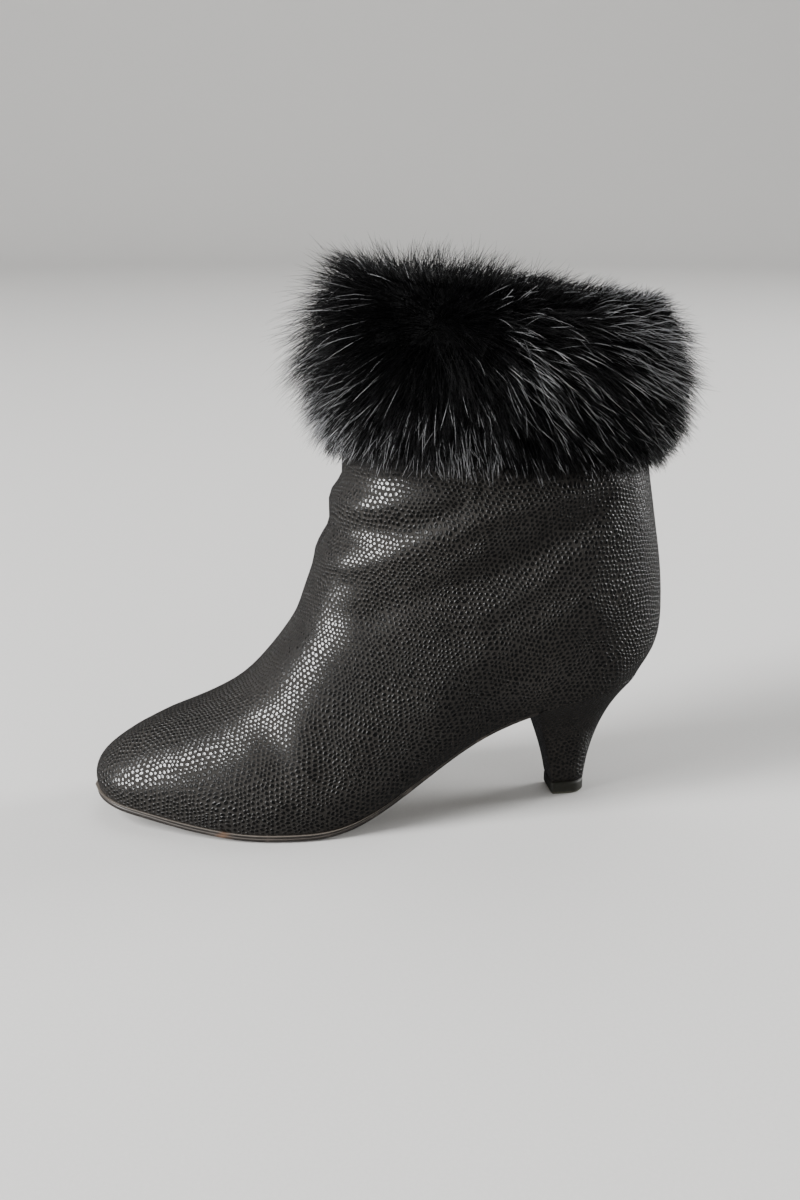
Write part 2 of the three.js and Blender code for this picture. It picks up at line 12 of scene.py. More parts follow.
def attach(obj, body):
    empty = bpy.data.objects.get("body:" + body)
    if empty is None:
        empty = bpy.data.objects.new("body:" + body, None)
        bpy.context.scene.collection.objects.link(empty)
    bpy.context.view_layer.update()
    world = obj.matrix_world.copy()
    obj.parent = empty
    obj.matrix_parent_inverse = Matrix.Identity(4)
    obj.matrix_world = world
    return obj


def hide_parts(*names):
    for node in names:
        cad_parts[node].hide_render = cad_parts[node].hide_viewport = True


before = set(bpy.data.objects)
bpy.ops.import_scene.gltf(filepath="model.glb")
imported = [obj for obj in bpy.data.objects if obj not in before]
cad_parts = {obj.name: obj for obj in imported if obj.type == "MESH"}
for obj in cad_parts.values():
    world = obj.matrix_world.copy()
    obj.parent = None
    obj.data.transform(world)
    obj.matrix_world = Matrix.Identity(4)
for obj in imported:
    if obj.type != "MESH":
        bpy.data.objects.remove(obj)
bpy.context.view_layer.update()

MM = 0.001

# The boot's own sizes, in metres: the same as the solids'.
HEEL_BACK = 117.2 * MM  # the back of the heel, level with the floor
BOOT_LENGTH = 244 * MM
LEG_MIDDLE = Vector((-0.7 * MM, 46.4 * MM, 0))  # the upright line through the ankle
COLLAR_BACK = 202 * MM  # height of the collar behind
COLLAR_RISE = 14 * MM  # how much higher it is in front
COLLAR_FRONT = 0.522  # place of the collar's front, as a share of the length from the heel
PELT_BACK_HEIGHT = 62 * MM
PELT_FRONT_HEIGHT = 70 * MM
PELT_RIM = 8 * MM  # how far the pelt stands above the collar
PELT_DEPTH = 9 * MM  # how far it stands off the shaft


# Camera

# The photograph's viewpoint: from the outer side, a little ahead of the ankle, looking down on the boot.
EYE = (0.5896, -0.0842, 0.268)
AHEAD = (-0.9475, 0.1399, -0.2874)
LENS = 45  # in mm, on a sensor 36 mm wide


def set_up_camera():
    data = bpy.data.cameras.new("camera")
    data.lens = LENS
    data.sensor_width = 36
    data.clip_start = 0.02
    data.clip_end = 30
    camera = bpy.data.objects.new("camera", data)
    bpy.context.scene.collection.objects.link(camera)
    camera.location = EYE
    camera.rotation_mode = "QUATERNION"
    camera.rotation_quaternion = Vector(AHEAD).to_track_quat("-Z", "Y")
    bpy.context.scene.camera = camera


# Materials


def linear(code):
    """An sRGB hex colour as the linear values that the shaders take."""
    parts = [int(code[i : i + 2], 16) / 255 for i in (1, 3, 5)]
    return (*[c / 12.92 if c <= 0.04045 else ((c + 0.055) / 1.055) ** 2.4 for c in parts], 1.0)


def add_node(tree, kind, inputs=(), **settings):
    """Adds one node with its settings. Each input, by name or place, takes a value, another node's socket, or
    another node's first output."""
    node = tree.nodes.new(kind)
    for name, value in settings.items():
        setattr(node, name, value)
    for name, value in inputs.items() if isinstance(inputs, dict) else enumerate(inputs):
        if isinstance(value, bpy.types.Node):
            value = value.outputs[0]
        if isinstance(value, bpy.types.NodeSocket):
            tree.links.new(value, node.inputs[name])
        else:
            node.inputs[name].default_value = value
    return node


def new_material(name):
    material = bpy.data.materials.new(name)
    material.use_nodes = True
    material.node_tree.nodes.clear()
    return material, material.node_tree


PEBBLE_PITCH = 2.05 * MM  # from the middle of one pebble to the next
PEBBLE_RELIEF = 0.2 * MM
ROW_GAP = math.sqrt(3)  # pebbles pack like coins, in rows half a pitch apart
# The rest of a pebble, in pitches: how far it strays from its place, its top's radius from the least to the most,
# the width of its shoulder, and its dimple's radius. Its lean and the dimple's depth are in shares of the relief.
STRAY = 0.14
BRIM = (0.36, 0.44)
SHOULDER = 0.15
DIMPLE = 0.26
DIMPLE_DEPTH = 0.16
LEAN = 0.55


def pebble_lattice(tree, flat):
    """The nearest pebble to each place on the hide, in pitches: how far its middle is, which way, and three random
    values of its own. The lattice is two with oblong cells, the second moved by half a cell."""
    middles, offsets, distances = [], [], []
    for start in ((0.0, 0.0, 0.0), (0.5, ROW_GAP / 2, 0.0)):
        local = add_node(tree, "ShaderNodeVectorMath", [flat, start], operation="SUBTRACT")
        rows = add_node(tree, "ShaderNodeVectorMath", [local, (1.0, ROW_GAP, 1.0)], operation="DIVIDE")
        cell = add_node(tree, "ShaderNodeVectorMath", [rows], operation="FLOOR")
        inner = add_node(tree, "ShaderNodeVectorMath", [cell, (0.5, 0.5, 0.0)], operation="ADD")
        spread = add_node(tree, "ShaderNodeVectorMath", [inner, (1.0, ROW_GAP, 1.0)], operation="MULTIPLY")
        middle = add_node(tree, "ShaderNodeVectorMath", [spread, start], operation="ADD")
        chance = add_node(tree, "ShaderNodeTexWhiteNoise", [middle], noise_dimensions="3D").outputs["Color"]
        strayed = add_node(
            tree, "ShaderNodeVectorMath", [chance, (2 * STRAY, 2 * STRAY, 0.0), middle], operation="MULTIPLY_ADD"
        )
        centre = add_node(tree, "ShaderNodeVectorMath", [strayed, (STRAY, STRAY, 0.0)], operation="SUBTRACT")
        offset = add_node(tree, "ShaderNodeVectorMath", [flat, centre], operation="SUBTRACT")
        length = add_node(tree, "ShaderNodeVectorMath", [offset], operation="LENGTH")
        middles.append(middle)
        offsets.append(offset)
        distances.append(length.outputs["Value"])
    nearer = add_node(tree, "ShaderNodeMath", distances, operation="LESS_THAN")
    distance = add_node(tree, "ShaderNodeMath", distances, operation="MINIMUM")
    from_middle, own = [
        add_node(tree, "ShaderNodeMix", {0: nearer, 4: second, 5: first}, data_type="VECTOR").outputs[1]
        for first, second in (offsets, middles)
    ]
    chance = add_node(tree, "ShaderNodeTexWhiteNoise", [own], noise_dimensions="3D").outputs["Color"]
    return distance, from_middle, chance


def pebble_form(tree, distance, from_middle, chance, size):
    """A pebble: a rounded shoulder, a top that leans its own way by a degree or two, and a dimple in the middle.
    Gives where the top is, from 0 to 1, and the height."""
    brim = add_node(tree, "ShaderNodeMapRange", [size, 0.0, 1.0, *BRIM])
    shoulder = add_node(tree, "ShaderNodeMath", [brim, SHOULDER], operation="SUBTRACT")
    top = add_node(
        tree, "ShaderNodeMapRange", [distance, shoulder, brim, 1.0, 0.0], interpolation_type="SMOOTHSTEP"
    )
    dimple = add_node(
        tree, "ShaderNodeMapRange", [distance, 0.0, DIMPLE, DIMPLE_DEPTH, 0.0], interpolation_type="SMOOTHSTEP"
    )
    way = add_node(tree, "ShaderNodeVectorMath", [chance, (0.5, 0.5, 0.5)], operation="SUBTRACT")
    lean = add_node(tree, "ShaderNodeVectorMath", [from_middle, way], operation="DOT_PRODUCT").outputs["Value"]
    leaning = add_node(tree, "ShaderNodeMath", [lean, LEAN, top], operation="MULTIPLY_ADD")
    return top, add_node(tree, "ShaderNodeMath", [leaning, dimple], operation="SUBTRACT")


def pebbled_leather(name):
    """Chrome-tanned cowhide, embossed with round pebbles and glazed. The hot plate polishes the pebbles' tops and
    leaves the valleys matt, so that each pebble is a small dark mirror in a dull grey net."""
    material, tree = new_material(name)
    hide = add_node(tree, "ShaderNodeUVMap", uv_map="hide")
    place = add_node(tree, "ShaderNodeTexCoord").outputs["Object"]
    # Lasting has pulled the hide unevenly, so the rows wander over a few centimetres.
    pulled = add_node(tree, "ShaderNodeTexNoise", {"Vector": place, "Scale": 1 / (22.222 * MM), "Detail": 2.0})
    wander = add_node(
        tree, "ShaderNodeVectorMath", [pulled.outputs["Color"], (8 * MM, 8 * MM, 0)], operation="MULTIPLY"
    )
    moved = add_node(tree, "ShaderNodeVectorMath", [hide, wander], operation="ADD")
    flat = add_node(tree, "ShaderNodeVectorMath", [moved, (1 / PEBBLE_PITCH,) * 3], operation="MULTIPLY")
    distance, from_middle, chance = pebble_lattice(tree, flat)
    each = add_node(tree, "ShaderNodeSeparateColor", [chance])
    top, height = pebble_form(tree, distance, from_middle, chance, each.outputs[0])
    pores = add_node(tree, "ShaderNodeTexNoise", {"Vector": place, "Scale": 1 / (0.625 * MM), "Detail": 3.0})
    rough_height = add_node(tree, "ShaderNodeMath", [pores, 0.12, height], operation="MULTIPLY_ADD")
    bump = add_node(
        tree, "ShaderNodeBump", {"Strength": 1.0, "Distance": PEBBLE_RELIEF, "Height": rough_height}
    )

    rubbed = add_node(tree, "ShaderNodeTexNoise", {"Vector": place, "Scale": 1 / (45.455 * MM), "Detail": 4.0})
    haze = add_node(tree, "ShaderNodeMapRange", [rubbed, 0.35, 0.7, 0.0, 0.06])
    gloss = add_node(tree, "ShaderNodeMapRange", [each.outputs[1], 0.0, 1.0, 0.24, 0.36])
    polish = add_node(tree, "ShaderNodeMath", [gloss, haze], operation="ADD")
    rough = add_node(tree, "ShaderNodeMix", {0: top, 2: 0.78, 3: polish}, data_type="FLOAT")
    tops = add_node(
        tree, "ShaderNodeMix", {0: each.outputs[2], 6: linear("#060606"), 7: linear("#0c0b0b")}, data_type="RGBA"
    )
    valleys = add_node(
        tree, "ShaderNodeMix", {0: rubbed, 6: linear("#191817"), 7: linear("#2c2926")}, data_type="RGBA"
    )
    colour = add_node(
        tree, "ShaderNodeMix", {0: top, 6: valleys.outputs[2], 7: tops.outputs[2]}, data_type="RGBA"
    )
    shader = add_node(
        tree,
        "ShaderNodeBsdfPrincipled",
        {
            "Base Color": colour.outputs[2],
            "Roughness": rough,
            "IOR": 1.5,
            "Specular IOR Level": 0.25,
            "Coat Weight": top,
            "Coat Roughness": 0.17,
            "Coat IOR": 1.6,
            "Normal": bump,
            "Coat Normal": bump,
        },
    )
    add_node(tree, "ShaderNodeOutputMaterial", [shader])
    return material


def smooth_leather(name, dark, light, roughness):
    """Thin smooth leather inside the boot, drum-dyed and unfinished: fine grain, hardly any shine."""
    material, tree = new_material(name)
    place = add_node(tree, "ShaderNodeTexCoord").outputs["Object"]
    dye = add_node(tree, "ShaderNodeTexNoise", {"Vector": place, "Scale": 1 / (25 * MM), "Detail": 5.0})
    cells = add_node(
        tree, "ShaderNodeTexVoronoi", {"Vector": place, "Scale": 1 / (0.9 * MM)}, feature="DISTANCE_TO_EDGE"
    )
    creased = add_node(tree, "ShaderNodeMapRange", [cells, 0.0, 0.25], interpolation_type="SMOOTHSTEP")
    bump = add_node(tree, "ShaderNodeBump", {"Strength": 0.8, "Distance": 0.08 * MM, "Height": creased})
    colour = add_node(tree, "ShaderNodeMix", {0: dye, 6: linear(dark), 7: linear(light)}, data_type="RGBA")
    rough = add_node(tree, "ShaderNodeMapRange", [dye, 0.3, 0.7, roughness - 0.07, roughness + 0.07])
    shader = add_node(
        tree,
        "ShaderNodeBsdfPrincipled",
        {"Base Color": colour.outputs[2], "Roughness": rough, "Normal": bump},
    )
    add_node(tree, "ShaderNodeOutputMaterial", [shader])
    return material


SCUFF_PLACE = (33 * MM, -73 * MM, 2.5 * MM)


def sole_leather(name):
    """Vegetable-tanned sole leather. Its edge is dyed black, waxed and burnished, which gives a soft shine, paler
    where the wax has rubbed off, and its tread is scuffed brown on the ground."""
    material, tree = new_material(name)
    place = add_node(tree, "ShaderNodeTexCoord").outputs["Object"]
    normal = add_node(tree, "ShaderNodeNewGeometry").outputs["Normal"]
    facing = add_node(tree, "ShaderNodeSeparateXYZ", [normal]).outputs["Z"]
    tread = add_node(tree, "ShaderNodeMapRange", [facing, -0.8, -0.6, 1.0, 0.0], interpolation_type="SMOOTHSTEP")
    # Painted highlight: the bevels of the edge that face upwards are painted paler, standing for the light they
    # catch.
    upward_bevel_highlight = add_node(tree, "ShaderNodeMapRange", [facing, 0.1, 0.6], interpolation_type="SMOOTHSTEP")
    dye = add_node(
        tree, "ShaderNodeTexNoise", {"Vector": place, "Scale": 1 / (9.091 * MM), "Detail": 6.0, "Roughness": 0.7}
    )
    worn = add_node(tree, "ShaderNodeMapRange", [dye, 0.52, 0.66], interpolation_type="SMOOTHSTEP")
    combed = add_node(tree, "ShaderNodeMapping", {"Vector": place, "Scale": (1.0, 0.15, 1.0)})
    scratches = add_node(tree, "ShaderNodeTexNoise", {"Vector": combed, "Scale": 1 / (1.4286 * MM), "Detail": 4.0})
    # One scuff shows the tan leather through the dye, low on the outer edge under the ball.
    apart = add_node(tree, "ShaderNodeVectorMath", [place, SCUFF_PLACE], operation="DISTANCE").outputs["Value"]
    near = add_node(tree, "ShaderNodeMapRange", [apart, 2 * MM, 9 * MM, 1.0, 0.0])
    scuffed = add_node(tree, "ShaderNodeMath", [near, dye], operation="MULTIPLY")
    scuff = add_node(tree, "ShaderNodeMapRange", [scuffed, 0.32, 0.5], interpolation_type="SMOOTHSTEP")
    edge = add_node(
        tree, "ShaderNodeMix", {0: worn, 6: linear("#2a2725"), 7: linear("#4a443f")}, data_type="RGBA"
    )
    # The edge's colour with the painted highlight on its upward bevels.
    painted_highlight = add_node(
        tree, "ShaderNodeMix", {0: upward_bevel_highlight, 6: edge.outputs[2], 7: linear("#6b645d")}, data_type="RGBA"
    )
    tan = add_node(
        tree, "ShaderNodeMix", {0: scuff, 6: painted_highlight.outputs[2], 7: linear("#5c483a")}, data_type="RGBA"
    )
    ground = add_node(
        tree, "ShaderNodeMix", {0: scratches, 6: linear("#171412"), 7: linear("#4a3f36")}, data_type="RGBA"
    )
    colour = add_node(
        tree, "ShaderNodeMix", {0: tread, 6: tan.outputs[2], 7: ground.outputs[2]}, data_type="RGBA"
    )
    rough = add_node(tree, "ShaderNodeMapRange", [tread, 0.0, 1.0, 0.4, 0.7])
    bump = add_node(tree, "ShaderNodeBump", {"Strength": 0.6, "Distance": 0.1 * MM, "Height": scratches})
    shader = add_node(
        tree,
        "ShaderNodeBsdfPrincipled",
        {"Base Color": colour.outputs[2], "Roughness": rough, "Normal": bump},
    )
    add_node(tree, "ShaderNodeOutputMaterial", [shader])
    return material


def heel_rubber(name):
    """Hard compression-moulded rubber, matt, a little green with dust and paler where its edge is trodden."""
    material, tree = new_material(name)
    place = add_node(tree, "ShaderNodeTexCoord").outputs["Object"]
    low = add_node(tree, "ShaderNodeSeparateXYZ", [place]).outputs["Z"]
    speckle = add_node(tree, "ShaderNodeTexNoise", {"Vector": place, "Scale": 1 / (1.1111 * MM), "Detail": 5.0})
    trodden = add_node(
        tree, "ShaderNodeMapRange", [low, 0.3 * MM, 1.8 * MM, 0.9, 0.12], interpolation_type="SMOOTHSTEP"
    )
    dust = add_node(tree, "ShaderNodeMath", [trodden, speckle], operation="MULTIPLY")
    colour = add_node(
        tree, "ShaderNodeMix", {0: dust, 6: linear("#171714"), 7: linear("#6b6a58")}, data_type="RGBA"
    )
    bump = add_node(tree, "ShaderNodeBump", {"Strength": 0.5, "Distance": 0.1 * MM, "Height": speckle})
    shader = add_node(
        tree,
        "ShaderNodeBsdfPrincipled",
        {"Base Color": colour.outputs[2], "Roughness": 0.6, "Normal": bump},
    )
    add_node(tree, "ShaderNodeOutputMaterial", [shader])
    return material


def fur_pelt(name):
    """The felted underwool of dyed fur, so deep between the hairs that it gives back almost no light."""
    material, tree = new_material(name)
    place = add_node(tree, "ShaderNodeTexCoord").outputs["Object"]
    drawn = add_node(tree, "ShaderNodeMapping", {"Vector": place, "Scale": (1.0, 1.0, 0.25)})
    wool = add_node(tree, "ShaderNodeTexNoise", {"Vector": drawn, "Scale": 1 / (1.1111 * MM), "Detail": 6.0})
    colour = add_node(
        tree, "ShaderNodeMix", {0: wool, 6: linear("#040404"), 7: linear("#0d0d0e")}, data_type="RGBA"
    )
    bump = add_node(tree, "ShaderNodeBump", {"Strength": 1.0, "Distance": 0.8 * MM, "Height": wool})
    shader = add_node(
        tree,
        "ShaderNodeBsdfPrincipled",
        {"Base Color": colour.outputs[2], "Roughness": 0.95, "Specular IOR Level": 0.15, "Normal": bump},
    )
    add_node(tree, "ShaderNodeOutputMaterial", [shader])
    return material


def fur_hair(name, root, tip, roughness, shine):
    """Dyed black hair. The cuticle is smooth and shines along the strand, and a strand with a painted highlight is
    painted grey towards its tip, standing for a glint of the lamps.
    """
    material, tree = new_material(name)
    along = add_node(tree, "ShaderNodeAttribute", attribute_name="along").outputs["Fac"]
    painted_highlight = add_node(tree, "ShaderNodeAttribute", attribute_name="painted_highlight").outputs["Fac"]
    painted_highlight_along = add_node(tree, "ShaderNodeMapRange", [along, 0.2, 0.75], interpolation_type="SMOOTHSTEP")
    share = add_node(tree, "ShaderNodeMath", [painted_highlight, painted_highlight_along], operation="MULTIPLY")
    colour = add_node(tree, "ShaderNodeMix", {0: share, 6: linear(root), 7: linear(tip)}, data_type="RGBA")
    shader = add_node(
        tree,
        "ShaderNodeBsdfPrincipled",
        {"Base Color": colour.outputs[2], "Roughness": roughness, "Specular IOR Level": shine},
    )
    add_node(tree, "ShaderNodeOutputMaterial", [shader])
    return material


# The studio


def studio_paper(name):
    """Pale uncoated background paper, matt, with a faint fibre."""
    material, tree = new_material(name)
    place = add_node(tree, "ShaderNodeTexCoord").outputs["Object"]
    fibre = add_node(tree, "ShaderNodeTexNoise", {"Vector": place, "Scale": 1 / (1.4286 * MM), "Detail": 4.0})
    colour = add_node(
        tree, "ShaderNodeMix", {0: fibre, 6: linear("#d2d1cf"), 7: linear("#dbdad8")}, data_type="RGBA"
    )
    shader = add_node(
        tree,
        "ShaderNodeBsdfPrincipled",
        {"Base Color": colour.outputs[2], "Roughness": 0.85, "Specular IOR Level": 0.2},
    )
    add_node(tree, "ShaderNodeOutputMaterial", [shader])
    return material


FLOOR_FLAT = 3.2  # from the boot to where the paper begins to bend
FLOOR_BEND = 1.8
FLOOR_TOP = 4.8


def build_floor():
    """Paper that lies flat under the boot and sweeps up far away all round. The leather doesn't mirror it, so that
    it stays as black as in a dark room."""
    bm = bmesh.new()
    middle, edge = bm.verts.new((0, 0, 0)), bm.verts.new((FLOOR_FLAT, 0, 0))
    bm.edges.new((middle, edge))
    bent = bmesh.ops.spin(
        bm, geom=[edge], cent=(FLOOR_FLAT, 0, FLOOR_BEND), axis=(0, 1, 0), angle=math.radians(-90), steps=16
    )["geom_last"]
    last = [part for part in bent if isinstance(part, bmesh.types.BMVert)]
    raised = bmesh.ops.extrude_vert_indiv(bm, verts=last)["verts"]
    bmesh.ops.translate(bm, verts=raised, vec=(0, 0, FLOOR_TOP - FLOOR_BEND))
    bmesh.ops.spin(
        bm,
        geom=bm.verts[:] + bm.edges[:],
        cent=(0, 0, 0),
        axis=(0, 0, 1),
        angle=math.radians(360),
        steps=96,
        use_merge=True,
    )
    bmesh.ops.remove_doubles(bm, verts=bm.verts, dist=MM)
    bmesh.ops.recalc_face_normals(bm, faces=bm.faces)
    floor = piece_from(bm, "studio_floor", [studio_paper("uncoated_background_paper")])
    floor.visible_glossy = False


# Soft boxes: a tall window on the toe's side and a low one behind the heel, which the leather mirrors, and two that
# only lighten it.
LIGHTS = [
    {"name": "window", "at": (0.8, -2.48, 1.72), "aim": 1.6, "size": (1.0, 3.32), "power": 288, "mirrored": True},
    {"name": "behind_heel", "at": (-0.6, 2.6, 0.72), "aim": 0.2, "size": (1.0, 1.32), "power": 96, "mirrored": True},
    {"name": "overhead", "at": (-1.2, 0.2, 3.4), "aim": 0.2, "size": (2.4, 2.4), "power": 48, "mirrored": False},
    {"name": "fill", "at": (2.8, 1.0, 0.8), "aim": 0.2, "size": (2.2, 1.4), "power": 28, "mirrored": False},
]


def build_lights():
    for row in LIGHTS:
        data = bpy.data.lights.new(row["name"], "AREA")
        data.shape = "RECTANGLE"
        data.size, data.size_y = row["size"]
        data.energy = row["power"]
        light = bpy.data.objects.new(row["name"], data)
        light.location = row["at"]
        light.visible_glossy = row["mirrored"]
        light.rotation_mode = "QUATERNION"
        light.rotation_quaternion = (Vector((0, 0, row["aim"])) - Vector(row["at"])).to_track_quat("-Z", "Y")
        bpy.context.scene.collection.objects.link(light)
    world = bpy.data.worlds.new("studio_air")
    world.use_nodes = True
    background = world.node_tree.nodes["Background"]
    background.inputs["Color"].default_value = linear("#dcdde0")
    background.inputs["Strength"].default_value = 0.08
    bpy.context.scene.world = world


# Making pieces


def piece_from(bm, name, materials):
    """A finished mesh as an object at the origin, shaded smooth."""
    mesh = bpy.data.meshes.new(name)
    bm.to_mesh(mesh)
    bm.free()
    for material in materials:
        mesh.materials.append(material)
    mesh.shade_smooth()
    piece = bpy.data.objects.new(name, mesh)
    bpy.context.scene.collection.objects.link(piece)
    return piece


def merged_copy(node, crisp_over=None, crispness=0.0):
    """The solid's surface with its corners joined and its triangles paired into quads. Edges sharper than crisp_over
    degrees stay crisp when it is smoothed."""
    bm = bmesh.new()
    bm.from_mesh(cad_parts[node].data)
    bmesh.ops.remove_doubles(bm, verts=bm.verts, dist=0.01 * MM)
    bmesh.ops.join_triangles(
        bm, faces=bm.faces, angle_face_threshold=math.radians(40), angle_shape_threshold=math.radians(60)
    )
    if crisp_over is not None:
        crease = bm.edges.layers.float.new("crease_edge")
        for edge in sharp_edges(bm, crisp_over):
            edge[crease] = crispness
    return bm


def sharp_edges(bm, degrees):
    limit = math.radians(degrees)
    return [e for e in bm.edges if len(e.link_faces) == 2 and e.calc_face_angle() > limit]


def smoothed(piece, levels):
    """Subdivides the piece and keeps the result as its mesh."""
    modifier = piece.modifiers.new("smooth", "SUBSURF")
    modifier.levels = modifier.render_levels = levels
    graph = bpy.context.evaluated_depsgraph_get()
    made = bpy.data.meshes.new_from_object(piece.evaluated_get(graph))
    piece.modifiers.clear()
    rough = piece.data
    piece.data = made
    bpy.data.meshes.remove(rough)
    made.name = piece.name


def patch_round(start, degrees):
    """The faces reached from one face without crossing an edge sharper than that."""
    found, waiting = {start}, [start]
    while waiting:
        for edge in waiting.pop().edges:
            if len(edge.link_faces) == 2 and edge.calc_face_angle() < math.radians(degrees):
                fresh = [face for face in edge.link_faces if face not in found]
                found.update(fresh)
                waiting.extend(fresh)
    return found


def lay_flat(piece, seams_of):
    """Unwraps the piece as its leather was cut, in its real size: one unit of the map is one metre of hide."""
    mesh = piece.data
    bm = bmesh.new()
    bm.from_mesh(mesh)
    for edge in seams_of(bm):
        edge.seam = True
    bm.to_mesh(mesh)
    bm.free()
    mesh.uv_layers.new(name="hide")
    bpy.ops.object.select_all(action="DESELECT")
    bpy.context.view_layer.objects.active = piece
    piece.select_set(True)
    bpy.ops.object.mode_set(mode="EDIT")
    bpy.ops.mesh.select_all(action="SELECT")
    bpy.ops.uv.unwrap(method="MINIMUM_STRETCH", iterations=30, margin=0.01)
    bpy.ops.object.mode_set(mode="OBJECT")
    bm = bmesh.new()
    bm.from_mesh(mesh)
    layer = bm.loops.layers.uv["hide"]
    real = flat = 0.0
    for face in bm.faces:
        if face.material_index == 0:
            corners = [loop[layer].uv for loop in face.loops]
            turned = corners[1:] + corners[:1]
            real += face.calc_area()
            flat += abs(sum(a.x * b.y - b.x * a.y for a, b in zip(corners, turned))) / 2
    scale = math.sqrt(real / flat)
    for face in bm.faces:
        for loop in face.loops:
            loop[layer].uv *= scale
    bm.to_mesh(mesh)
    bm.free()


def vertex_values(mesh, key):
    values = np.zeros(len(mesh.vertices) * 3)
    mesh.vertices.foreach_get(key, values)
    return values.reshape(-1, 3)


def settle(piece, node):
    """The piece stands for its solid, which it hides, and rides with the boot."""
    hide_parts(node)
    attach(piece, "root")


# The upper

# Creases on the outer side, as lines of (place from the boot's middle, height) in mm. A trough has a depth below 0.
# "inner" is how much of it shows on the inner side of the leg.
CREASES = [
    {"name": "collar_trough", "line": [(-24, 142), (-2, 146), (28, 148)], "width": 5, "depth": -2.2, "inner": 0.8},
    {"name": "high_swell", "line": [(-23, 134), (-5, 137), (16, 140)], "width": 5, "depth": 1.3, "inner": 0.8},
    {"name": "ankle_trough", "line": [(-25, 123), (-13, 125), (3, 127), (20, 136)], "width": 5, "depth": -2.4,
     "inner": 0.8},
    {"name": "long_swell", "line": [(-28, 111), (-8, 114), (8, 123), (26, 131), (46, 137), (81, 144)],
     "width": 4.5, "depth": 2.0, "inner": 0.5},
    {"name": "long_trough", "line": [(-10, 94), (23, 105), (47, 114), (67, 125), (80, 137)], "width": 7,
     "depth": -2.3, "inner": 0.5},
    {"name": "throat_trough", "line": [(-46, 83), (-28, 89), (-10, 94)], "width": 6, "depth": -1.0, "inner": 0.6},
    {"name": "thin_ridge", "line": [(28, 91), (52, 103), (78, 124), (85, 140)], "width": 4, "depth": 0.8,
     "inner": 0.4},
    {"name": "back_trough", "line": [(30, 142), (59, 146), (83, 150)], "width": 4.5, "depth": -1.7, "inner": 0.5},
    {"name": "broad_swell", "line": [(14, 60), (38, 77), (72, 94)], "width": 15, "depth": 3.0, "inner": 0.6},
    {"name": "ball_hollow_front", "line": [(-55, 45), (-52, 36), (-49, 27)], "width": 7, "depth": -1.4,
     "inner": 0.0},
    {"name": "ball_ridge", "line": [(-41, 49), (-42, 38), (-44, 24)], "width": 5, "depth": 0.5, "inner": 0.0},
    {"name": "ball_hollow_back", "line": [(-31, 46), (-32, 38), (-33, 28)], "width": 6, "depth": -0.9,
     "inner": 0.0},
    {"name": "ball_bump", "line": [(-52, 21), (-53, 18)], "width": 4.5, "depth": 0.9, "inner": 0.0},
]
SIDE_TURNS = 12 * MM  # from the middle line outwards, over which a crease passes from inner side to outer
CREASE_START = 8 * MM  # creases die out towards the sole and heel over this distance
UNEVEN = 0.35 * MM  # the hide is nowhere pulled quite even over the last
UNEVEN_REACH = 24 * MM


def crease_push(points, crease):
    """How far a crease lifts each point off the surface, as seen from the side."""
    line = np.array(crease["line"], float) * MM
    apart = np.full(len(points), np.inf)
    flat = points[:, 1:3]
    for start, end in zip(line[:-1], line[1:]):
        way = end - start
        share = np.clip((flat - start) @ way / (way @ way), 0, 1)
        apart = np.minimum(apart, np.linalg.norm(flat - start - share[:, None] * way, axis=1))
    across = np.exp(-((apart / (crease["width"] * MM)) ** 2))
    outer = np.clip(points[:, 0] / SIDE_TURNS, -1, 1) / 2 + 0.5
    return crease["depth"] * MM * across * (outer + (1 - outer) * crease["inner"])


def unevenness(points):
    return np.array([noise.noise(Vector(point) / UNEVEN_REACH) for point in points]) * UNEVEN


def tree_of(mesh):
    return BVHTree.FromPolygons([v.co for v in mesh.vertices], [p.vertices[:] for p in mesh.polygons])


def clear_of_sole(points):
    """From 0 at the sole and heel, where the leather is cemented flat, to 1 where it is free to crease."""
    trees = [tree_of(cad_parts[name].data) for name in ("outsole", "heel")]
    apart = np.array([min(tree.find_nearest(point)[3] for tree in trees) for point in points.tolist()])
    return np.clip(apart / CREASE_START, 0, 1)


def lining_points(mesh):
    """Which vertices belong to the lining."""
    kinds = np.zeros(len(mesh.polygons), int)
    totals = np.zeros(len(mesh.polygons), int)
    corners = np.zeros(len(mesh.loops), int)
    mesh.polygons.foreach_get("material_index", kinds)
    mesh.polygons.foreach_get("loop_total", totals)
    mesh.loops.foreach_get("vertex_index", corners)
    inside = np.zeros(len(mesh.vertices), bool)
    inside[corners[np.repeat(kinds == 1, totals)]] = True
    return inside


BACK_SEAM_FROM = 60 * MM  # the seam down the back is looked for behind this place
BACK_SEAM_REACH = 0.4 * MM  # and this near the middle line


def upper_seams(bm):
    """The leather is cut along its edges and down the back of the heel."""
    for edge in bm.edges:
        kinds = {face.material_index for face in edge.link_faces}
        behind = all(
            v.co.y > BACK_SEAM_FROM and abs(v.co.x - LEG_MIDDLE.x) < BACK_SEAM_REACH for v in edge.verts
        )
        if len(kinds) > 1 or behind:
            yield edge


